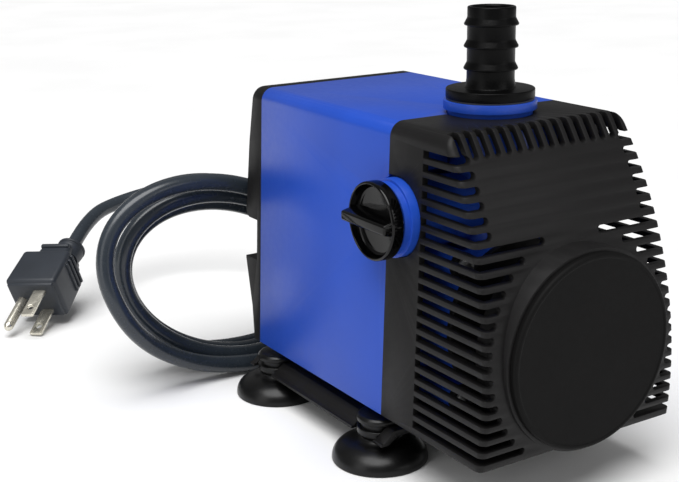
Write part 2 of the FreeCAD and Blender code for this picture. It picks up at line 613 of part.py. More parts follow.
def front_cover():
    reach = "cover_deep + cap_proud + boss_proud"

    def block_of(name, inset, top_round, low_round):
        body = pad(name + "_section", "XZ_Plane", section(inset, top_round, low_round), reach, -s.seam_place)
        side = pad(name + "_side", "YZ_Plane", bow(inset), "body_wide_low", middle=True)
        return common(name, body, side)

    outer = block_of("cover_outer", 0, s.edge_round, 0)
    centre_y = s.seam_place - s.cover_deep + s.bow_radius
    centre_z = s.body_base + s.bow_tall

    def on_front(edge):
        inside = [math.hypot(p.y - centre_y, p.z - centre_z) - s.bow_radius for p in edge.discretize(7)]
        return max(abs(gap) for gap in inside) < 0.01 and edge.CenterOfMass.z > s.body_base + s.lip_round

    softened = rounded("cover_softened", outer, s.lip_round, on_front)
    inner = block_of("cover_inner", s.cover_wall, s.edge_round - s.cover_wall, 0)
    front = "seam_place - cover_deep"
    hood = (front + " - boss_proud", front + " + hood_deep")
    hood_ring = tube("hood_ring", "boss_radius", "port_radius", "y", *hood, z=ROTOR_Z)
    port = rod("port", "port_radius", "y", *hood, z=ROTOR_Z)
    slots = pad("side_slot_tools", "XZ_Plane", side_slots(), "cover_deep", -(s.seam_place - s.slot_behind))
    louvres = pad("top_slot_tools", "XZ_Plane", top_slots(), "cover_deep",
                  -(s.seam_place - s.top_slot_behind))
    shell = cut("cover_shell", softened, inner, port)
    bars = cut("cover_bars", fuse("cover_body", shell, hood_ring), slots, louvres)
    tower_way = fuse("tower_way", rod("tower_notch", "tower_radius + niche_gap", "z",
                                      TOWER_FOOT, BODY_TOP,
                                      y=OUTLET_Y),
                     block("tower_mouth", both("tower_radius + niche_gap"), (OUTLET_Y, "seam_place"),
                           (TOWER_FOOT, BODY_TOP)))
    valve_way = fuse("valve_way", rod("valve_notch", VALVE_POCKET, "x", "-body_wide_low / 2", "0",
                                      y=OUTLET_Y, z=VALVE_Z),
                     block("valve_mouth", ("-body_wide_low / 2", "0"), (OUTLET_Y, "seam_place"),
                           (VALVE_Z + " - (%s)" % VALVE_POCKET, VALVE_Z + " + " + VALVE_POCKET)))
    piece("front_cover", cut("front_cover", bars, tower_way, valve_way))


def front_cap():
    """A shallow round cap that closes the inlet port in the middle of the cover."""
    rim = s.cap_radius - s.cap_chamfer
    bore = s.port_radius - s.fit_gap
    profile = [(0, 0), (rim, 0), (s.cap_radius, -s.cap_chamfer), (s.cap_radius, -s.cap_proud), (bore,
                                                                                                -s.cap_proud),
               (bore, -s.cap_proud - s.cap_spigot), (bore - s.cap_wall, -s.cap_proud - s.cap_spigot),
               (bore - s.cap_wall, -s.cap_wall), (0, -s.cap_wall)]
    place = (0, s.seam_place - s.cover_deep - s.boss_proud - s.cap_proud, rotor_height())
    piece("front_cap", turned("front_cap", profile, place, (0, -1, 0)))


# ------------------------------------------------------------------ back cover and cord gland

def back_cover():
    end = s.seam_place + s.housing_long
    base, top = s.body_base, s.body_base + s.body_tall
    low, high = base + s.channel_low, base + s.channel_high
    outline = [(end, base), (end + s.back_thick - s.back_draft, base), (end + s.back_thick,
                                                                        base + s.bulge_start),
               (end + s.back_bulge, low - s.back_wall / 2), (end + s.back_bulge, low),
               (end + s.channel_floor, low), (end + s.channel_floor, high),
               (end + s.back_bulge - s.back_wall, high),
               (end + s.back_bulge, base + s.bulge_tall), (end + s.back_bulge - s.back_wall,
                                                           base + s.bulge_end),
               (end + s.back_thick, top), (end, top)]
    soft, slight = s.back_round, s.back_round / 2
    radii = [0, soft, s.bulge_blend, slight, slight / 2, 0, 0, 0, slight, s.bulge_round, soft, 0]
    side = pad("back_side", "YZ_Plane", corners([(y, z, 0) for y, z in outline], radii), "body_wide_low",
               middle=True)
    section_block = prism("back_section", 0, end, "back_bulge", s.edge_round, 0)
    solid = common("back_solid", section_block, side)
    across = both("body_wide_high / 2 - 2 * boss_inset")
    hollow_low = block("back_hollow_low", across, (HOUSING_END, HOUSING_END + " + back_thick - back_wall"),
                       ("body_base + back_wall", "body_base + channel_low - back_wall"))
    hollow_high = block("back_hollow_high", across, (HOUSING_END, HOUSING_END + " + back_thick - back_wall"),
                        ("body_base + channel_high + back_wall", BODY_TOP + " - back_wall"))
    ways = [rod("back_way", "back_screw + screw_gap", "y", HOUSING_END, HOUSING_END + " + back_bulge", x=x,
                z=z)
            for x, z in corner_places()]
    sinks = [rod("back_sink", "back_head + screw_gap", "y", HOUSING_END + " + back_sink",
                 HOUSING_END + " + back_bulge",
                 x=x, z=z) for x, z in corner_places()]
    piece("back_cover", cut("back_cover", solid, hollow_low, hollow_high, *ways, *sinks))
    screws = [fuse("back_screw", rod("back_shank", "back_screw", "y",
                                     HOUSING_END + " - boss_long + screw_head",
                                     HOUSING_END + " + back_sink", x=x, z=z),
                   rod("back_cap", "back_head", "y", HOUSING_END + " + back_sink",
                       HOUSING_END + " + back_sink + screw_head_tall", x=x, z=z)) for x, z in corner_places()]
    piece("back_cover_screws", fuse("back_cover_screws", *screws))
    strip_half = "body_wide_high / 2 - strip_inset"
    piece("cord_anchor_strip", block("cord_anchor_strip", both(strip_half),
                                     (HOUSING_END + " + channel_floor",
                                      HOUSING_END + " + channel_floor + strip_thick"),
                                     ("body_base + channel_low", "body_base + channel_high")))


def cord_gland():
    start = HOUSING_END + " + channel_floor + strip_thick"
    neck = start + " + gland_flange_thick"
    place = dict(x="gland_side", z="body_base + gland_tall")
    piece("cord_gland", fuse("cord_gland", rod("gland_flange", "gland_flange", "y", start, neck, **place),
                             cone("gland_sleeve", "gland_thick", "gland_thin", "y", neck,
                                  neck + " + gland_long",
                                  **place)))


# ------------------------------------------------------------------ base plate and suction cups

def base_plate():
    top, web = s.web_tall + s.plate_web, s.web_tall
    step = s.platform_half + s.step_run
    right = [(s.platform_half, s.body_base), (step, top), (s.rail_top_half, s.rail_top),
             (s.rail_out_half, s.rail_low + s.rail_lip), (s.plate_half, s.rail_low + s.rail_lip),
             (s.plate_half, s.rail_low), (s.rail_out_half - 2 * s.rail_lip, s.rail_low),
             (s.rail_top_half - s.rail_lip, web), (step - s.plate_web, web),
             (s.platform_half - s.plate_web, s.body_base - s.plate_web)]
    left = [(-x, z) for x, z in reversed(right)]
    outline = corners([(x, z, 0) for x, z in right + left], [0] * len(right + left))
    plate_back = s.seam_place + s.housing_long + s.plate_behind
    plate = pad("plate_profile", "XZ_Plane", outline,
                "plate_front + seam_place + housing_long + plate_behind",
                -plate_back)
    notches = []
    for side in (-1, 1):
        for y in ("cup_front", CUP_REAR):
            x = "%d * cup_side" % side
            outer = ("cup_side", "plate_half") if side > 0 else ("-plate_half", "-cup_side")
            notches.append(rod("notch_round", "cup_neck + notch_gap", "z", "rail_low", "body_base", x=x, y=y))
            notches.append(rod("flange_way", "cup_head + notch_gap", "z", "rail_low", "web_tall", x=x, y=y))
            notches.append(block("notch_mouth", outer, (y + " - cup_neck - notch_gap",
                                                        y + " + cup_neck + notch_gap"),
                                 ("rail_low", "body_base")))
    holes = [rod("plate_hole", "back_screw + screw_gap", "z", "rail_low", "body_base", y=y)
             for y in ("plate_screw_front", "plate_screw_rear")]
    piece("base_plate", cut("base_plate", plate, *notches, *holes))
    screws = [fuse("plate_screw", rod("plate_shank", "back_screw", "z", "body_base - plate_web",
                                      "body_base + floor_boss_tall - back_wall", y=y),
                   rod("plate_cap", "back_head", "z", "body_base - plate_web - screw_head_tall",
                       "body_base - plate_web", y=y)) for y in ("plate_screw_front", "plate_screw_rear")]
    piece("base_plate_screws", fuse("base_plate_screws", *screws))


def suction_cups():
    web_low, web_high = s.web_tall, s.web_tall + s.plate_web
    head_top, bevel = web_high + s.cup_head_tall, s.cup_bevel
    profile = [(0, head_top), (s.cup_head - bevel, head_top), (s.cup_head, head_top - bevel), (s.cup_head,
                                                                                               web_high),
               (s.cup_neck, web_high), (s.cup_neck, web_low), (s.cup_head, web_low), (s.cup_head, s.rail_low),
               (s.cup_neck, s.cup_shoulder + bevel)]
    steps = int(s.cup_steps)
    for i in range(1, steps + 1):
        turn = math.pi / 2 * i / steps
        profile.append((s.cup_neck + (s.cup_radius - s.cup_neck) * math.sin(turn) ** s.cup_curve,
                        s.cup_edge + (s.cup_shoulder - s.cup_edge) * math.cos(turn)))
    profile += [(s.cup_radius, 0), (s.cup_radius - s.cup_lip, 0)]
    inner = s.cup_radius - s.cup_lip
    for i in range(1, steps + 1):
        turn = math.pi / 2 * i / steps
        profile.append((inner * math.cos(turn), s.cup_hollow * math.sin(turn)))
    profile[-1] = (0, s.cup_hollow)
    rear = s.seam_place + s.housing_long - s.cup_inset
    for end, y in (("front", s.cup_front), ("rear", rear)):
        for side, x in (("left", -s.cup_side), ("right", s.cup_side)):
            piece("suction_cup_%s_%s" % (end, side), turned("suction_cup_%s_%s" % (end, side), profile, (x,
                                                                                                         y,
                                                                                                         0)))


# ------------------------------------------------------------------ cord, coil and plug

def cord_tube(name, route):
    """Straight runs joined by tangent arcs, each as large as its two runs allow."""
    points = [V(*p) for p in route]
    radii = [0.0]
    for before, here, after in zip(points, points[1:], points[2:]):
        half_turn = (here - before).getAngle(after - here) / 2
        radii.append(0.45 * min((here - before).Length, (after - here).Length) / math.tan(half_turn))
    radii.append(0.0)
    path = Part.Wire([part.toShape() for part in corners(route, radii, closed=False)])
    start = (points[1] - points[0]).normalize()
    ring = Part.Wire([Part.Circle(points[0], start, s.cord_radius).toShape()])
    solid = path.makePipeShell([ring], True, False)
    print(name, "length %.1f" % path.Length, "radii", ["%.0f" % r for r in radii[1:-1]],
          "volume ratio %.4f" % (solid.Volume / (math.pi * s.cord_radius ** 2 * path.Length)))
    obj = add("Part::Feature", name)
    obj.Shape = solid
    piece(name, obj)


def coil_extent():
    tilt = math.radians(s.coil_tilt)
    return math.hypot(s.coil_half_long * math.sin(tilt), s.coil_half_tall * math.cos(tilt))


def cord_coil():
    """The wound turns as one closed oval ring, standing on the floor behind the pump."""
    def oval(name, half_long, half_tall):
        obj = add("Part::Feature", name)
        centre = V(s.coil_side, s.coil_near, coil_extent())
        tilt = math.radians(s.coil_tilt)
        long_end = centre + V(-math.cos(tilt), 0, math.sin(tilt)) * half_long
        tall_end = centre + V(math.sin(tilt), 0, math.cos(tilt)) * half_tall
        curve = Part.Ellipse(long_end, tall_end, centre).toShape()
        obj.Shape = Part.Face(Part.Wire([curve])).extrude(V(0, 2 * s.coil_layer, 0))
        return obj

    band = s.coil_band
    ring = cut("cord_coil", oval("coil_outer", s.coil_half_long, s.coil_half_tall),
               oval("coil_inner", s.coil_half_long - band, s.coil_half_tall - band))
    piece("cord_coil", ring)
    tilt = math.radians(s.coil_tilt)
    reach = s.coil_half_long - band / 2
    tie = add("Part::Torus", "cord_tie")
    bind(tie, "Radius1", "tie_reach")
    bind(tie, "Radius2", "tie_thick")
    tie_depth = s.coil_near + s.coil_layer + s.tie_back
    tie.Placement = FreeCAD.Placement(V(s.coil_side + reach * math.cos(tilt), tie_depth,
                                        coil_extent() - reach * math.sin(tilt)),
                                      FreeCAD.Rotation(V(0, 0, 1), V(math.sin(tilt), 0, math.cos(tilt))))
    piece("cord_tie", tie)


def plug():
    along, side = V(*PLUG_AXIS).normalize(), V(*PLUG_SIDE)
    side = (side - along * side.dot(along)).normalize()
    up = along.cross(side)
    turn = FreeCAD.Rotation(along, side, up, "XYZ")
    pose = FreeCAD.Placement(V(*PLUG_PLACE), turn)

    def posed(label, obj):
        doc.recompute()
        shape = obj.Shape.copy()
        shape.Placement = pose.multiply(shape.Placement)
        final = add("Part::Feature", label)
        final.Shape = shape
        piece(label, final)

    body = block("plug_block", ("plug_shoulder", "plug_long"), both("plug_wide / 2"), ("-plug_below",
                                                                                       "plug_above"))
    body = rounded("plug_soft", body, s.plug_round, lambda edge: edge.CenterOfMass.x < s.plug_long - 1)
    shoulder = block("plug_step", ("plug_throat", "plug_shoulder + plug_round"), both("shoulder_wide / 2"),
                     ("-shoulder_below", "shoulder_above"))
    shoulder = rounded("plug_step_soft", shoulder, s.plug_round,
                       lambda edge: edge.CenterOfMass.x < s.plug_shoulder)
    throat = cone("plug_neck", "cord_radius + neck_wall", "collar_thick", "x", "-collar_long",
                  "plug_throat + plug_round")
    rim = rod("plug_rim", "collar_rim", "x", "0", "collar_long")
    posed("plug_body", fuse("plug_solid", body, shoulder, throat, rim))
    blades = []
    for sign in ("-", ""):
        middle = sign + "blade_gap / 2"
        blade = block("blade", ("plug_long", "plug_long + blade_long"),
                      (middle + " - blade_sheet / 2", middle + " + blade_sheet / 2"), both("blade_wide / 2"))
        hole = rod("blade_eye", "blade_hole", "y", middle + " - blade_sheet / 2",
                   middle + " + blade_sheet / 2",
                   x="plug_long + blade_eye")
        blades.append(cut("blade_drilled", blade, hole))
    posed("plug_blades", fuse("plug_blade_pair", *blades))
    pin = fuse("plug_pin", rod("pin", "pin_radius", "x", "plug_long", "plug_long + pin_long - pin_radius",
                               z="pin_offset"),
               cone("pin_tip", "pin_radius", "pin_radius / 2", "x", "plug_long + pin_long - pin_radius",
                    "plug_long + pin_long", z="pin_offset"))
    posed("plug_ground_pin", pin)


def check_and_export():
    """Refuse a failed feature or a broken solid, then write one file per sub-part."""
    doc.recompute()
    for obj in doc.Objects:
        if "Invalid" in obj.State or "Error" in obj.State:
            raise RuntimeError("%s failed: %s" % (obj.Label, obj.State))
    os.makedirs("parts", exist_ok=True)
    for obj in pieces:
        if obj.Shape.isNull() or not obj.Shape.isValid() or not obj.Shape.Solids:
            raise RuntimeError("%s is not a valid solid" % obj.Label)
        obj.Shape.exportStep("parts/%s.step" % obj.Label)


motor_housing()
stator()
potting_resin()
rotor()
volute_casing()
impeller_cover()
flow_valve()
hose_barb()
front_cover()
front_cap()
back_cover()
cord_gland()
base_plate()
suction_cups()
cord_tube("cord_lead", LEAD_ROUTE)
cord_coil()
cord_tube("cord_end", END_ROUTE)
plug()
check_and_export()
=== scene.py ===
import math

import bmesh
import bpy
from mathutils import Matrix, Vector


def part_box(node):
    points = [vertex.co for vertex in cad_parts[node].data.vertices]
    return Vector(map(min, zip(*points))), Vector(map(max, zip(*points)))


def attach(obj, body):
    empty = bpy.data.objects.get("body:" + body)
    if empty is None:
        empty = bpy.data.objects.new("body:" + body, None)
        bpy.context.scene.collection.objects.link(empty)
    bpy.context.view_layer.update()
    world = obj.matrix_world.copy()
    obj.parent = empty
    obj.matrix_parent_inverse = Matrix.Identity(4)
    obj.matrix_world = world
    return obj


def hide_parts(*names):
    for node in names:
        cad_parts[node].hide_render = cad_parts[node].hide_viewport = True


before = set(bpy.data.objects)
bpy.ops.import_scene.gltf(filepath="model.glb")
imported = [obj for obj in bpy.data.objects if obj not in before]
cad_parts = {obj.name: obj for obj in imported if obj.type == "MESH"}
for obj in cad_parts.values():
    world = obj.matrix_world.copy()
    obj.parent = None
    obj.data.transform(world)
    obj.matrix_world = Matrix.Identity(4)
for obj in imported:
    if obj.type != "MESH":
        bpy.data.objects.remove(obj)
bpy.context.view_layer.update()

# ------------------------------------------------------------------ motor housing
# The blue housing is one injection moulding in ABS with a satin skin. Its front wall carries the rotor's
# can, and its long straight sides lean in towards the top so that it leaves the mould.

MM = 0.001


def shader(name):
    """A new material, and short ways to add its nodes, to join them and to place a pattern on the piece."""
    material = bpy.data.materials.new(name)
    material.use_nodes = True
    tree = material.node_tree
    surface = tree.nodes["Principled BSDF"]

    def node(kind, **values):
        made = tree.nodes.new("ShaderNode" + kind)
        for key, value in values.items():
            if key in made.inputs:
                made.inputs[key].default_value = value
            else:
                setattr(made, key, value)
        return made

    def join(source, output, target, socket):
        tree.links.new(source.outputs[output], target.inputs[socket])

    return material, surface, node, join


def noise_on(node, join, size, detail=3.0, stretch=(1, 1, 1)):
    """Noise whose grains are about size across, in metres, on the piece's own coordinates."""
    place = node("TexCoord")
    spread = node("Mapping", Scale=stretch)
    pattern = node("TexNoise", Scale=1 / size, Detail=detail)
    join(place, "Object", spread, "Vector")
    join(spread, "Vector", pattern, "Vector")
    return pattern


def shades(node, join, pattern, surface, dark, light, low=0.35, high=0.65):
    """The base colour runs from dark to light over the pattern."""
    ramp = node("ValToRGB")
    ramp.color_ramp.elements[0].position = low
    ramp.color_ramp.elements[1].position = high
    ramp.color_ramp.elements[0].color = (*dark, 1)
    ramp.color_ramp.elements[1].color = (*light, 1)
    join(pattern, "Fac", ramp, "Fac")
    join(ramp, "Color", surface, "Base Color")


def gloss(node, join, pattern, surface, low, high):
    """The roughness wanders from low to high over the pattern."""
    spread = node("MapRange", **{"From Min": 0.3, "From Max": 0.7, "To Min": low, "To Max": high})
    join(pattern, "Fac", spread, "Value")
    join(spread, "Result", surface, "Roughness")


def relief(node, join, pattern, surface, depth, strength=1.0):
    """The pattern raises the surface by depth, in metres."""
    bump = node("Bump", Strength=strength, Distance=depth)
    join(pattern, "Fac", bump, "Height")
    join(bump, "Normal", surface, "Normal")


def moulded(name, dark, light, rough, grain=0.35 * MM, depth=0.012 * MM, specular=0.5):
    """Moulded plastic: faint flow marks in the colour, a spark-eroded grain and uneven gloss."""
    material, surface, node, join = shader(name)
    flow = noise_on(node, join, 28 * MM, 4.0)
    shades(node, join, flow, surface, dark, light)
    gloss(node, join, noise_on(node, join, 2.5 * MM), surface, rough - 0.025, rough + 0.025)
    relief(node, join, noise_on(node, join, grain, 2.0), surface, depth)
    surface.inputs["Specular IOR Level"].default_value = specular
    return material


def dress(name, material):
    """Give a CAD node's object its finish."""
    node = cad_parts[name]
    node.data.materials.clear()
    node.data.materials.append(material)
    return node


def eased(name, width, segments=2, angle=28):
    """Ease a CAD node's sharp edges as a mould does: its loose triangles are welded, then bevelled."""
    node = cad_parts[name]
    weld = node.modifiers.new("weld", "WELD")
    weld.merge_threshold = 0.002 * MM
    bevel = node.modifiers.new("edges", "BEVEL")
    bevel.width = width
    bevel.segments = segments
    bevel.limit_method = "ANGLE"
    bevel.angle_limit = math.radians(angle)
    bevel.harden_normals = True
    bevel.miter_outer = "MITER_ARC"
    node.data.shade_smooth()
    return node


blue_plastic = moulded("blue_abs", (0.012, 0.062, 0.42), (0.013, 0.067, 0.45), 0.36, 0.35 * MM, 0.010 * MM,
                       specular=0.35)
dress("motor_housing", blue_plastic)
eased("motor_housing", 0.35 * MM)

# ------------------------------------------------------------------ stator and potting
# A stack of varnished steel laminations stands over the rotor's can, with a wound bobbin on each leg.
# Epoxy resin poured in from behind seals them against the water.


def banded(name, dark, light, rough, pitch, direction, depth, metallic=0.0):
    """Metal or resin with fine parallel bands: lamination edges, wire turns or mould lines."""
    material, surface, node, join = shader(name)
    place = node("TexCoord")
    bands = node("TexWave", Scale=math.pi / (10 * pitch), Distortion=0.6, Detail=2.0,
                 bands_direction=direction)
    join(place, "Object", bands, "Vector")
    shades(node, join, bands, surface, dark, light, 0.2, 0.8)
    gloss(node, join, noise_on(node, join, 3 * MM), surface, rough - 0.06, rough + 0.06)
    relief(node, join, bands, surface, depth)
    surface.inputs["Metallic"].default_value = metallic
    return material


core_steel = banded("varnished_laminations", (0.05, 0.05, 0.055), (0.16, 0.16, 0.17), 0.42, 0.5 * MM, "Y",
                    0.06 * MM, metallic=0.8)
copper_wire = banded("enamelled_copper", (0.20, 0.05, 0.015), (0.52, 0.17, 0.06), 0.3, 0.4 * MM, "Z",
                     0.12 * MM, metallic=0.9)
spool_plastic = moulded("spool_nylon", (0.50, 0.47, 0.40), (0.58, 0.55, 0.47), 0.45)
resin = moulded("potting_epoxy", (0.012, 0.012, 0.014), (0.02, 0.02, 0.022), 0.22, 2.0 * MM, 0.05 * MM)
dress("stator_core", core_steel)
for side in ("left", "right"):
    dress("bobbin_" + side, spool_plastic)
    dress("winding_" + side, copper_wire)
dress("potting_resin", resin)

# ------------------------------------------------------------------ rotor and impeller
# A sintered ferrite magnet turns on a fixed ceramic shaft between two bushes and carries the straight-bladed
# impeller of white acetal on its front end.

ferrite = moulded("ferrite", (0.035, 0.035, 0.038), (0.06, 0.06, 0.064), 0.5, 0.6 * MM, 0.02 * MM)
ceramic = moulded("zirconia", (0.72, 0.71, 0.68), (0.80, 0.79, 0.76), 0.15, 1.0 * MM, 0.002 * MM)
impeller_plastic = moulded("white_acetal", (0.66, 0.67, 0.66), (0.74, 0.75, 0.74), 0.35)
black_rubber = moulded("black_epdm", (0.008, 0.008, 0.008), (0.016, 0.016, 0.016), 0.48, 0.5 * MM, 0.02 * MM)
dress("rotor_magnet", ferrite)
dress("rotor_shaft", ceramic)
for name in ("rear_shaft_bush", "front_shaft_bush", "volute_seal", "knob_seal"):
    dress(name, black_rubber)
dress("thrust_washers", ceramic)
dress("impeller", impeller_plastic)
eased("impeller", 0.25 * MM)

# ------------------------------------------------------------------ volute casing
# The pump chamber, its duct, the outlet tower and the valve branch are one blue moulding. Its cover is
# screwed on in front with four stainless pan-head screws, which are made with the back cover's.


def closed(bm, name, material, body, stands_for=(), sharp=32):
    """Make the mesh a finished object: outward faces, smooth shading, crisp edges, its finish and body."""
    bmesh.ops.remove_doubles(bm, verts=bm.verts, dist=0.001 * MM)
    bmesh.ops.recalc_face_normals(bm, faces=bm.faces)
    mesh = bpy.data.meshes.new(name)
    bm.to_mesh(mesh)
    bm.free()
    mesh.shade_smooth()
    mesh.set_sharp_from_angle(angle=math.radians(sharp))
    mesh.materials.append(material)
    piece = bpy.data.objects.new(name, mesh)
    bpy.context.scene.collection.objects.link(piece)
    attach(piece, body)
    if stands_for:
        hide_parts(*stands_for)
    return piece


def facing(centre, axis):
    """The turn and move that takes a piece made about Z at the origin to its axis and place."""
    turn = Vector((0, 0, 1)).rotation_difference(Vector(axis))
    return Matrix.Translation(centre) @ turn.to_matrix().to_4x4()


def spin_outline(bm, outline, place, steps=96, segments=3):
    """Turn an outline of (radius, height, rounding) about Z, its corners rounded, and put it in place."""
    loose = bmesh.new()
    points = [loose.verts.new((radius, 0, height)) for radius, height, _ in outline]
    for first, second in zip(points, points[1:]):
        loose.edges.new((first, second))
    if outline[0][0] > 0 and outline[-1][0] > 0:
        loose.edges.new((points[-1], points[0]))
    for rounding in sorted({corner[2] for corner in outline if corner[2]}):
        chosen = [point for point, corner in zip(points, outline) if corner[2] == rounding]
        bmesh.ops.bevel(loose, geom=chosen, offset=rounding, offset_type="OFFSET", segments=segments,
                        profile=0.5, affect="VERTICES", material=-1)
    bmesh.ops.spin(loose, geom=loose.verts[:] + loose.edges[:], cent=(0, 0, 0), axis=(0, 0, 1),
                   dvec=(0, 0, 0), angle=math.tau, steps=steps, use_merge=True)
    bmesh.ops.remove_doubles(loose, verts=loose.verts, dist=0.001 * MM)
    bmesh.ops.transform(loose, matrix=place, verts=loose.verts)
    turned = bpy.data.meshes.new("turned")
    loose.to_mesh(turned)
    loose.free()
    bm.from_mesh(turned)
    bpy.data.meshes.remove(turned)


def screw_head(bm, centre, axis, radius, tall):
    """A pan head looking along the axis, with a small socket and a cross laid on it as two thin bars."""
    head = [(0, 0, 0), (radius, 0, 0), (radius, tall * 0.45, tall * 0.35), (radius * 0.55, tall, tall * 0.3),
            (radius * 0.18, tall, 0), (radius * 0.1, tall * 0.4, 0), (0, tall * 0.35, 0)]
    spin_outline(bm, head, facing(centre, axis), 32, 2)
    for turn in (0, math.pi / 2):
        arm = bmesh.ops.create_cube(bm, size=1)["verts"]
        shape = (facing(centre, axis) @ Matrix.Rotation(turn, 4, "Z") @ Matrix.Translation((0, 0, tall))
                 @ Matrix.Diagonal((radius * 1.15, radius * 0.2, tall * 0.06, 1)))
        bmesh.ops.transform(bm, matrix=shape, verts=arm)


dress("volute_casing", blue_plastic)
eased("volute_casing", 0.4 * MM, 3)
black_plastic = moulded("black_abs", (0.0050, 0.0047, 0.0049), (0.0065, 0.0061, 0.0063), 0.50, 0.45 * MM,
                        0.02 * MM, specular=0.22)
dress("impeller_cover", black_plastic)
eased("impeller_cover", 0.3 * MM)

# ------------------------------------------------------------------ flow knob
# The barrel of the flow valve ends in a glossy black knob. It is a shallow dish with a thin rim and a
# wedge-shaped grip bar across it, moulded in one piece and polished.

gloss_black = moulded("polished_black", (0.0006, 0.0006, 0.0007), (0.0010, 0.0010, 0.0011), 0.10, 1.2 * MM,
                      0.002 * MM, specular=0.25)
dress("valve_barrel", black_plastic)
knob_low, knob_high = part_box("flow_knob")
knob_radius = (knob_high.z - knob_low.z) / 2
knob_back = Vector((knob_high.x, (knob_low.y + knob_high.y) / 2, (knob_low.z + knob_high.z) / 2))
knob_deep, dish_deep, knob_rim, bar_reach = 5.2 * MM, 3.3 * MM, 1.1 * MM, knob_high.x - knob_low.x
knob = bmesh.new()
spin_outline(knob, [(0, 0, 0), (knob_radius - 0.6 * MM, 0, 0.3 * MM), (knob_radius, 0.8 * MM, 0.3 * MM),
                    (knob_radius, knob_deep, 0.9 * MM), (knob_radius - knob_rim, knob_deep, 0.35 * MM),
                    (knob_radius - knob_rim - 0.5 * MM, knob_deep - dish_deep, 1.4 * MM),
                    (0, knob_deep - dish_deep - 0.3 * MM, 0)], facing(knob_back, (-1, 0, 0)), 128, 4)
bar = bmesh.ops.create_cube(knob, size=1)["verts"]
bar_foot, bar_top, bar_low = 7.4 * MM, 3.4 * MM, knob_deep - dish_deep - 1.0 * MM
for corner in bar:
    outer = corner.co.x < 0
    corner.co.z *= bar_top if outer else bar_foot
    corner.co.y *= 2 * math.sqrt(knob_radius ** 2 - (bar_top if outer else bar_foot) ** 2 / 4) - 0.7 * MM
    corner.co.x = knob_back.x - (bar_reach if outer else bar_low)
    corner.co.y += knob_back.y
    corner.co.z += knob_back.z
bar_edges = [edge for edge in knob.edges if all(end in bar for end in edge.verts)
             and any(end.co.x < knob_back.x - knob_deep for end in edge.verts)]
bmesh.ops.bevel(knob, geom=bar_edges, offset=0.75 * MM, segments=4, profile=0.5, affect="EDGES", material=-1)
closed(knob, "dished_knob", gloss_black, "flow_valve", ["flow_knob"], 40)

# ------------------------------------------------------------------ hose barb
# The barb screws down on a rubber washer. It is turned from the outline of its mould: a flange, a neck,
# three rings whose undersides bite the hose, and a plain tip with a thin, softened mouth.

barb_low, barb_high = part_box("hose_barb")
seal_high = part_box("outlet_seal")[1]
barb_centre = Vector(((barb_low.x + barb_high.x) / 2, (barb_low.y + barb_high.y) / 2, seal_high.z))
flange_radius = (barb_high.x - barb_low.x) / 2
spigot_deep, tip = seal_high.z - barb_low.z, barb_high.z - seal_high.z
flange_thick, barb_radius, barb_bore, ring_radius = 3.5 * MM, 8.65 * MM, 7.15 * MM, 9.8 * MM
ring_first, ring_pitch, ring_tall, ring_count = 6.7 * MM, 7.85 * MM, 2.6 * MM, 3
barb_outline = [(barb_bore, -spigot_deep, 0), (10.6 * MM, -spigot_deep, 0), (10.6 * MM, 0, 0),
                (flange_radius, 0, 0.3 * MM), (flange_radius, flange_thick, 0.45 * MM),
                (9.15 * MM, flange_thick, 0.5 * MM), (barb_radius, flange_thick + 3.2 * MM, 0.5 * MM)]
for ring in range(ring_count):
    ring_low = flange_thick + ring_first + ring * ring_pitch
    barb_outline += [(barb_radius, ring_low - 0.15 * MM, 0.12 * MM),
                     (ring_radius - 0.1 * MM, ring_low, 0.12 * MM),
                     (ring_radius, ring_low + 0.5 * MM, 0.15 * MM),
                     (barb_radius, ring_low + ring_tall, 0.4 * MM)]
barb_outline += [(barb_radius, tip - 0.1 * MM, 0.5 * MM), (barb_bore + 0.5 * MM, tip, 0.2 * MM),
                 (barb_bore, tip - 0.7 * MM, 0.2 * MM)]
barb = bmesh.new()
spin_outline(barb, barb_outline, Matrix.Translation(barb_centre), 128)
coarse_black = moulded("sparked_black_abs", (0.0008, 0.0008, 0.0009), (0.0014, 0.0014, 0.0015), 0.36,
                       0.5 * MM, 0.06 * MM, specular=0.10)
closed(barb, "ribbed_barb", coarse_black, "pump_body", ["hose_barb"])
dress("outlet_seal", black_rubber)

# ------------------------------------------------------------------ front cover
# The strainer is a black ABS hood that slides over the pump chamber. Its walls are open with slots that wrap
# round its corners, and a round boss in its bowed front takes the cap.

dress("front_cover", black_plastic)
eased("front_cover", 0.22 * MM, 2, 35)

# ------------------------------------------------------------------ front cap
# The cap is pressed into the boss: a flat disc with a fine matt skin, an eased rim and a skirt behind it.

cap_low, cap_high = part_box("front_cap")
cap_radius = (cap_high.z - cap_low.z) / 2
cap_centre = Vector(((cap_low.x + cap_high.x) / 2, cap_low.y, (cap_low.z + cap_high.z) / 2))
cap_deep, cap_flange, cap_wall = cap_high.y - cap_low.y, 2.7 * MM, 2.0 * MM
skirt = cap_radius - 2.2 * MM
cap = bmesh.new()
spin_outline(cap, [(0, 0.25 * MM, 0), (cap_radius - 2.0 * MM, 0.25 * MM, 0.3 * MM),
                   (cap_radius - 1.6 * MM, 0, 0.2 * MM),
                   (cap_radius - 0.7 * MM, 0, 0.35 * MM), (cap_radius, 0.8 * MM, 0.35 * MM),
                   (cap_radius, cap_flange, 0.1 * MM), (skirt, cap_flange, 0.1 * MM),
                   (skirt, cap_deep, 0.4 * MM), (skirt - cap_wall, cap_deep, 0.4 * MM),
                   (skirt - cap_wall, cap_wall, 0.5 * MM), (0, cap_wall, 0)],
             facing(cap_centre, (0, 1, 0)), 160)
matt_black = moulded("matt_black_abs", (0.0025, 0.0024, 0.0024), (0.0033, 0.0031, 0.0031), 0.60, 0.3 * MM,
                     0.018 * MM, specular=0.10)
closed(cap, "round_cap", matt_black, "strainer", ["front_cap"])

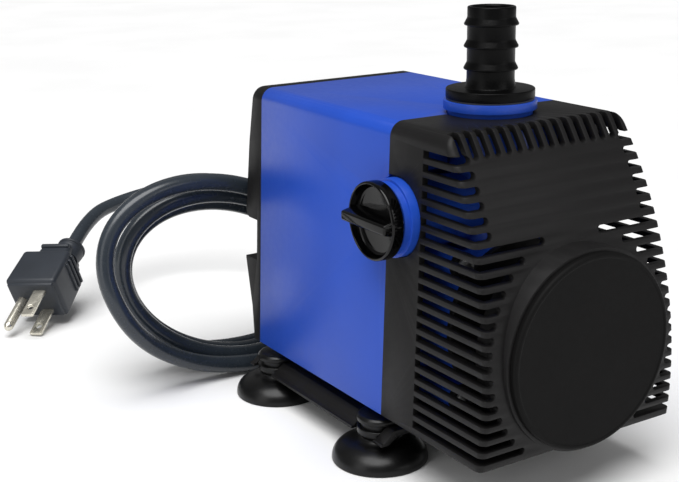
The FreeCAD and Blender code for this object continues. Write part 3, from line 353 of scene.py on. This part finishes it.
# ------------------------------------------------------------------ back cover
# A black ABS cover closes the housing behind. It bulges over the windings, and a pale strip lies in the
# channel across it where the cord leaves. Four countersunk screws hold it.

dress("back_cover", black_plastic)
eased("back_cover", 0.4 * MM)
grey_plastic = moulded("pale_grey_abs", (0.36, 0.36, 0.35), (0.42, 0.42, 0.41), 0.5)
dress("cord_anchor_strip", grey_plastic)
eased("cord_anchor_strip", 0.3 * MM)


def fastener(bm, head, axis, head_radius, head_tall, shank_radius, shank_long):
    """A screw: its shank runs back from the head's seat, with rolled threads on its last two thirds."""
    screw_head(bm, head, axis, head_radius, head_tall)
    pitch = 0.9 * MM
    turns = int(shank_long * 0.6 / pitch)
    outline = [(0, -shank_long, 0), (shank_radius * 0.5, -shank_long, 0)]
    for turn in range(turns):
        height = -shank_long + (turn + 0.5) * pitch
        outline += [(shank_radius * 0.8, height, 0), (shank_radius, height + pitch / 2, 0)]
    outline += [(shank_radius * 0.8, outline[-1][1] + pitch / 2, 0), (shank_radius * 0.8, 0.1 * MM, 0),
                (0, 0.1 * MM, 0)]
    spin_outline(bm, outline, facing(head, axis), 20, 1)


stainless = banded("stainless", (0.16, 0.16, 0.16), (0.24, 0.24, 0.24), 0.42, 0.15 * MM, "Z", 0.004 * MM, 1.0)
back_low, back_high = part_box("back_cover_screws")
small_head, large_head, head_tall, small_shank, large_shank = 3.2 * MM, 3.4 * MM, 2.6 * MM, 1.4 * MM, 1.6 * MM
back_shank_long, chamber_shank_long = 11.6 * MM, 33 * MM
screws = bmesh.new()
for x in (back_low.x + small_head, back_high.x - small_head):
    for z in (back_low.z + small_head, back_high.z - small_head):
        fastener(screws, (x, back_high.y - head_tall, z), (0, 1, 0), small_head, head_tall, small_shank,
                 back_shank_long)
closed(screws, "cover_screws", stainless, "pump_body", ["back_cover_screws"])
front_low, front_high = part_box("volute_screws")
screws = bmesh.new()
for x in (front_low.x + large_head, front_high.x - large_head):
    for z in (front_low.z + large_head, front_high.z - large_head):
        fastener(screws, (x, front_low.y + head_tall, z), (0, -1, 0), large_head, head_tall, large_shank,
                 chamber_shank_long)
closed(screws, "chamber_screws", stainless, "pump_body", ["volute_screws"])

# ------------------------------------------------------------------ base plate
# The base is a black ABS tray on the housing's underside: a platform between two sloping rails, notched
# for the suction cups' necks and held by two screws.

dress("base_plate", black_plastic)
eased("base_plate", 0.35 * MM)
plate_low, plate_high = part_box("base_plate_screws")
plate_shank_long = 9 * MM
screws = bmesh.new()
for y in (plate_low.y + small_head, plate_high.y - small_head):
    fastener(screws, (0, y, plate_low.z + head_tall), (0, 0, -1), small_head, head_tall, small_shank,
             plate_shank_long)
closed(screws, "plate_screws", stainless, "pump_body", ["base_plate_screws"])

# ------------------------------------------------------------------ suction cups
# Each cup is moulded in black rubber with a satin bloom: a wide thin-lipped dome, a neck that slips into
# the rail's notch, and a head that keeps it there.

cup_rubber = moulded("cup_rubber", (0.0022, 0.0022, 0.0023), (0.0036, 0.0036, 0.0037), 0.32, 0.8 * MM,
                     0.012 * MM, specular=0.28)
for corner in ("front_left", "front_right", "rear_left", "rear_right"):
    cup_low, cup_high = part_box("suction_cup_" + corner)
    cup_radius, cup_tall = (cup_high.x - cup_low.x) / 2, cup_high.z - cup_low.z
    cup_place = Matrix.Translation(((cup_low.x + cup_high.x) / 2, (cup_low.y + cup_high.y) / 2, cup_low.z))
    neck, head, edge, shoulder = 7.3 * MM, 8.8 * MM, 0.9 * MM, 8.4 * MM
    outline = [(0, cup_tall, 0), (head - 1.0 * MM, cup_tall, 0.5 * MM), (head, cup_tall - 1.0 * MM, 0.4 * MM),
               (head, cup_tall - 2.6 * MM, 0.3 * MM), (neck, cup_tall - 2.6 * MM, 0),
               (neck, cup_tall - 5.0 * MM, 0),
               (head, cup_tall - 5.0 * MM, 0.3 * MM), (head, cup_tall - 7.8 * MM, 0.6 * MM),
               (neck, shoulder + 1.0 * MM, 0.8 * MM)]
    steps = 14
    for step in range(1, steps + 1):
        turn = math.pi / 2 * step / steps
        outline.append((neck + (cup_radius - neck) * math.sin(turn) ** 0.9,
                        edge + (shoulder - edge) * math.cos(turn), 0))
    outline += [(cup_radius, 0.25 * MM, 0.15 * MM), (cup_radius - 0.4 * MM, 0, 0.15 * MM),
                (cup_radius - 1.6 * MM, 0.1 * MM, 0)]
    for step in range(1, steps):
        turn = math.pi / 2 * step / steps
        outline.append(((cup_radius - 1.6 * MM) * math.cos(turn), 5.2 * MM * math.sin(turn), 0))
    outline.append((0, 5.2 * MM, 0))
    cup = bmesh.new()
    spin_outline(cup, outline, cup_place, 96)
    closed(cup, "cup_" + corner, cup_rubber, "pump_body", ["suction_cup_" + corner])

# ------------------------------------------------------------------ cord gland
# The strain relief is moulded in soft PVC on the lead: a flange against the strip, then a tapered sleeve
# with ring grooves that let it bend.

gland_low, gland_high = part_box("cord_gland")
cord_thick = 7.5 * MM
gland_flange, flange_deep = (gland_high.x - gland_low.x) / 2, 2.2 * MM
gland_centre = Vector(((gland_low.x + gland_high.x) / 2, gland_low.y, (gland_low.z + gland_high.z) / 2))
gland_long = gland_high.y - gland_low.y
sleeve = [(0, 0.1 * MM, 0), (gland_flange, 0.1 * MM, 0.5 * MM), (gland_flange, flange_deep, 0.8 * MM)]
rings, sleeve_thick, sleeve_thin, groove = 6, 6.5 * MM, 4.8 * MM, 0.9 * MM
for ring in range(rings):
    for share, depth in ((0.15, 0), (0.55, 0), (0.62, groove), (0.92, groove)):
        along = (ring + share) / rings
        sleeve.append((sleeve_thick + (sleeve_thin - sleeve_thick) * along - depth,
                       flange_deep + along * (gland_long - flange_deep - 1.0 * MM), 0.2 * MM))
sleeve += [(sleeve_thin, gland_long - 1.0 * MM, 0.2 * MM), (sleeve_thin, gland_long, 0.4 * MM),
           (cord_thick / 2 - 0.1 * MM, gland_long, 0), (cord_thick / 2 - 0.1 * MM, gland_long - 1.0 * MM, 0),
           (0, gland_long - 1.0 * MM, 0)]
gland = bmesh.new()
spin_outline(gland, sleeve, facing(gland_centre, (0, 1, 0)), 64, 2)
soft_pvc = moulded("soft_pvc", (0.022, 0.028, 0.038), (0.030, 0.038, 0.050), 0.42, 0.8 * MM, 0.01 * MM, 0.4)
strain_relief = closed(gland, "strain_relief", soft_pvc, "pump_body", ["cord_gland"])

# ------------------------------------------------------------------ power cord
# The lead is one length of three-core PVC cable. It leaves the gland, drops to the floor and is wound into an
# oval hank of three and two thirds turns standing on edge, then swings round behind to reach its plug.

LEAD = [(30, 108.8, 66.2), (30, 127, 66.2), (30, 143.3, 66.1), (30, 157.7, 57.8), (30.2, 166, 43.4),
        (30.2, 166, 26.8), (30, 157.7, 12.4), (29.5, 143.3, 4.2), (26.5, 120, 4.2), (12, 97.5, 4.1),
        (-13, 91.4, 4)]
END = [(8, 117, 55.5), (24, 122, 50), (41, 135, 47.5), (51, 157, 47.5), (52, 184, 48.5), (44, 211, 50),
       (24, 237, 50.5), (-3, 254, 49), (-31, 257.5, 44.5), (-54.7, 245.3, 42), (-69.892, 229.751, 32.145)]
coil_middle = Vector((-45, 0, 45.5))
coil_tilt = math.radians(23)
long_way = Vector((-math.cos(coil_tilt), 0, math.sin(coil_tilt)))
tall_way = Vector((math.sin(coil_tilt), 0, math.cos(coil_tilt)))
# Each turn's half length, half height and depth, and how far it is shifted along and across the oval.
turns = [(60, 41.2, 91.6, 6.5, -0.3), (53.5, 36.8, 99.5, 0, -1), (51, 34.6, 107.4, -2.5, -3.2),
         (55, 39.8, 115.3, -0.5, -1)]
cross_from, cross_to, turn_start, turn_end, points_per_turn = 200, 335, -28, 1285, 14
bulge_from, bulge_to, bulge = 5, 95, 9


def eased_share(value):
    value = min(1, max(0, value))
    return value * value * (3 - 2 * value)


def winding_point(angle):
    """Where the wound lead is after an angle in degrees, counted from the hank's bottom over all turns."""
    shape = list(turns[0])
    for turn in range(len(turns) - 1):
        share = eased_share((angle - 360 * turn - cross_from) / (cross_to - cross_from))
        shape = [now + share * (after - before)
                 for now, before, after in zip(shape, turns[turn], turns[turn + 1])]
    half_long, half_tall, depth, shift_long, shift_tall = shape
    if bulge_from < angle < bulge_to:
        depth -= bulge * math.sin(math.pi * (angle - bulge_from) / (bulge_to - bulge_from)) ** 2
    turned = math.radians(angle)
    place = (coil_middle + long_way * (half_long * math.sin(turned) + shift_long)
             + tall_way * (shift_tall - half_tall * math.cos(turned)))
    return Vector((place.x, depth, max(place.z, 3.8))) * MM


steps = round((turn_end - turn_start) / 360 * points_per_turn)
route = [Vector(point) * MM for point in LEAD]
route += [winding_point(turn_start + (turn_end - turn_start) * step / steps) for step in range(steps + 1)]
route += [Vector(point) * MM for point in END]
line = bpy.data.curves.new("power_cord", "CURVE")
line.dimensions = "3D"
line.bevel_depth = cord_thick / 2
line.bevel_resolution = 6
line.resolution_u = 8
line.use_fill_caps = True
spline = line.splines.new("NURBS")
spline.points.add(len(route) - 1)
for point, place in zip(spline.points, route):
    point.co = (*place, 1)
spline.order_u = 3
spline.use_endpoint_u = True
cord_pvc = moulded("cord_pvc", (0.018, 0.024, 0.032), (0.025, 0.032, 0.041), 0.26, 1.5 * MM, 0.006 * MM, 0.5)
line.materials.append(cord_pvc)
power_cord = bpy.data.objects.new("power_cord", line)
bpy.context.scene.collection.objects.link(power_cord)
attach(power_cord, "pump_body")
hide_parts("cord_lead", "cord_coil", "cord_end")

# ------------------------------------------------------------------ twist tie
# A plastic-covered wire is wrapped round the strands at the hank's hidden end, and its two ends are twisted
# together into a short tail.

tie_middle, tie_deep, tie_wide, tie_wire = Vector((3.9, 103.6, 23.9)) * MM, 12.7 * MM, 5.6 * MM, 0.7 * MM
tail_long, tail_turns = 11 * MM, 3.5
tie = bmesh.new()
bmesh.ops.create_circle(tie, cap_ends=False, radius=tie_wire, segments=12,
                        matrix=Matrix.Translation((tie_wide, 0, 0)) @ Matrix.Rotation(math.pi / 2, 4, "X"))
bmesh.ops.spin(tie, geom=tie.verts[:] + tie.edges[:], cent=(0, 0, 0), axis=(0, 0, 1), dvec=(0, 0, 0),
               angle=math.tau, steps=64, use_merge=True)
for point in tie.verts:
    point.co.y += math.copysign(tie_deep - tie_wide, point.co.y) * min(1, abs(point.co.y) / (tie_wide * 0.9))
for turn in (0, math.pi):
    start = (Matrix.Rotation(turn, 4, "X") @ Matrix.Translation((0, tie_wire, 0))
             @ Matrix.Rotation(math.pi / 2, 4, "Y"))
    strand = bmesh.ops.create_circle(tie, cap_ends=True, radius=tie_wire, segments=10,
                                     matrix=Matrix.Translation((-tie_wide, 0, 0)) @ start)["verts"]
    ring = [edge for edge in tie.edges if all(end in strand for end in edge.verts)]
    coil_steps = 48
    bmesh.ops.spin(tie, geom=strand + ring, cent=(0, 0, 0), axis=(1, 0, 0),
                   dvec=(-tail_long / coil_steps, 0, 0), angle=math.tau * tail_turns, steps=coil_steps)
tie_pose = Matrix.Translation(tie_middle) @ Matrix((long_way, (0, 1, 0), tall_way)).transposed().to_4x4()
bmesh.ops.transform(tie, matrix=tie_pose, verts=tie.verts)
twist_tie = closed(tie, "twist_tie", black_plastic, "pump_body", ["cord_tie"], 60)

# ------------------------------------------------------------------ plug
# The plug is moulded on the lead in the same PVC: a ribbed collar, a shoulder and a block with soft edges.
# Two nickel-plated brass blades and a round earth pin stand in its face.

plug_place = Vector((-71.8, 227.8, 30.9)) * MM
plug_axis = Vector((-0.636, -0.651, -0.415)).normalized()
plug_side = Vector((-0.344, -0.242, 0.907))
plug_side = (plug_side - plug_axis * plug_side.dot(plug_axis)).normalized()
plug_up = plug_axis.cross(plug_side)
plug_pose = Matrix.Translation(plug_place) @ Matrix((plug_axis, plug_side, plug_up)).transposed().to_4x4()


def soft_block(bm, low, high, rounding, segments=4, taper=0.0):
    """A block between two corners in the plug's frame, its back end drawn in by taper, with round edges."""
    block = bmesh.ops.create_cube(bm, size=1)["verts"]
    low, high = Vector(low) * MM, Vector(high) * MM
    for corner in block:
        share = corner.co + Vector((0.5, 0.5, 0.5))
        corner.co = Vector(low[i] + share[i] * (high[i] - low[i]) for i in range(3))
        if share.x < 0.5:
            middle = (low + high) / 2
            corner.co.y += (middle.y - corner.co.y) * taper
            corner.co.z += (middle.z - corner.co.z) * taper
    edges = [edge for edge in bm.edges if all(end in block for end in edge.verts)]
    bmesh.ops.bevel(bm, geom=edges, offset=rounding * MM, segments=segments, profile=0.5, affect="EDGES",
                    material=-1)


plug = bmesh.new()
soft_block(plug, (14, -12, -9), (38.6, 12, 18.5), 2.2, 5, 0.05)
soft_block(plug, (34, -10.6, -7.6), (40, 10.6, 17.1), 0.9, 3)
soft_block(plug, (4.5, -9, -5.5), (17, 9, 12.5), 2.2, 5, 0.12)
soft_block(plug, (6.5, -9.4, -4.4), (9, 9.4, 11.4), 1.0, 3)
for step in range(3):
    fin = 15.5 + step * 3.2
    soft_block(plug, (fin, -9, -9.6), (fin + 1.5, 9, 4), 0.6, 3)
    soft_block(plug, (fin, -12.4, -6), (fin + 1.5, -9, 12), 0.6, 3)
spin_outline(plug, [(0, -3 * MM, 0), (4.6 * MM, -3 * MM, 0.3 * MM), (5.4 * MM, -0.4 * MM, 0.2 * MM),
                    (7.4 * MM, 0, 0.4 * MM), (7.4 * MM, 1.2 * MM, 0.3 * MM), (6.6 * MM, 1.6 * MM, 0.2 * MM),
                    (6.6 * MM, 2.1 * MM, 0.2 * MM), (7.2 * MM, 2.5 * MM, 0.3 * MM),
                    (7.0 * MM, 4.0 * MM, 0.5 * MM), (6.3 * MM, 9 * MM, 0), (0, 9 * MM, 0)],
             Matrix.Rotation(math.pi / 2, 4, "Y"), 64)
bmesh.ops.transform(plug, matrix=plug_pose, verts=plug.verts)
plug_pvc = moulded("plug_pvc", (0.018, 0.022, 0.029), (0.024, 0.029, 0.038), 0.42, 0.9 * MM, 0.02 * MM, 0.4)
plug_body = closed(plug, "moulded_plug", plug_pvc, "pump_body", ["plug_body"], 50)
nickel = banded("nickel_brass", (0.62, 0.59, 0.50), (0.78, 0.75, 0.66), 0.25, 0.4 * MM, "Z", 0.003 * MM, 0.85)
dress("plug_blades", nickel)
eased("plug_blades", 0.3 * MM, 3)
pin = bmesh.new()
pin_foot, pin_tip, pin_radius, pin_offset = 39.8 * MM, 60.6 * MM, 2.4 * MM, 11.9 * MM
spin_outline(pin, [(0, pin_foot, 0), (pin_radius, pin_foot, 0), (pin_radius, pin_tip - 1.6 * MM, 1.0 * MM),
                   (pin_radius * 0.5, pin_tip, 0.5 * MM), (0, pin_tip, 0)],
             Matrix.Translation((0, 0, pin_offset)) @ Matrix.Rotation(math.pi / 2, 4, "Y"), 40)
bmesh.ops.transform(pin, matrix=plug_pose, verts=pin.verts)
earth_pin = closed(pin, "earth_pin", nickel, "pump_body", ["plug_ground_pin"])

# ------------------------------------------------------------------ studio
# A pale floor under soft light, with the camera at a table's height in front of the knob's side.

floor_mesh = bpy.data.meshes.new("studio_floor")
floor_bm = bmesh.new()
bmesh.ops.create_grid(floor_bm, x_segments=8, y_segments=8, size=3.0)
floor_bm.to_mesh(floor_mesh)
floor_bm.free()
floor_paper, floor_surface, node, join = shader("floor_paper")
shades(node, join, noise_on(node, join, 0.15), floor_surface, (0.80, 0.80, 0.80), (0.84, 0.84, 0.84))
floor_surface.inputs["Roughness"].default_value = 0.9
floor_mesh.materials.append(floor_paper)
studio_floor = bpy.data.objects.new("studio_floor", floor_mesh)
bpy.context.scene.collection.objects.link(studio_floor)

world = bpy.data.worlds.new("studio")
world.use_nodes = True
world.node_tree.nodes["Background"].inputs["Color"].default_value = (1, 1, 1, 1)
world.node_tree.nodes["Background"].inputs["Strength"].default_value = 0.22
bpy.context.scene.world = world


def soft_light(name, place, aim, size, power):
    """A square soft box that looks from its place at a point."""
    light = bpy.data.lights.new(name, "AREA")
    light.shape = "RECTANGLE"
    light.size, light.size_y = size
    light.energy = power
    lamp = bpy.data.objects.new(name, light)
    lamp.location = place
    lamp.rotation_euler = (Vector(aim) - Vector(place)).to_track_quat("-Z", "Y").to_euler()
    bpy.context.scene.collection.objects.link(lamp)


sun = bpy.data.lights.new("broad_sun", "SUN")
sun.energy = 3.4
sun.angle = math.radians(50)
sun_lamp = bpy.data.objects.new("broad_sun", sun)
sun_lamp.rotation_euler = Vector((0.28, 0.22, -1)).to_track_quat("-Z", "Y").to_euler()
bpy.context.scene.collection.objects.link(sun_lamp)
soft_light("left_box", (-0.95, -0.15, 0.45), (0, 0, 0.07), (0.5, 0.9), 2)
soft_light("front_box", (0.45, -1.05, 0.55), (0, 0, 0.06), (0.6, 0.6), 2.2)
bpy.context.scene.view_settings.view_transform = "Standard"

heading, dip, roll = math.radians(32.02), math.radians(16.0), math.radians(0.89)
camera_data = bpy.data.cameras.new("camera")
camera_data.lens = 65.24
camera_data.sensor_width = 36
camera = bpy.data.objects.new("camera", camera_data)
camera.matrix_world = (Matrix.Translation((-0.2812, -0.3718, 0.2103)) @ Matrix.Rotation(-heading, 4, "Z")
                       @ Matrix.Rotation(math.pi / 2 - dip, 4, "X") @ Matrix.Rotation(-roll, 4, "Z"))
bpy.context.scene.collection.objects.link(camera)
bpy.context.scene.camera = camera
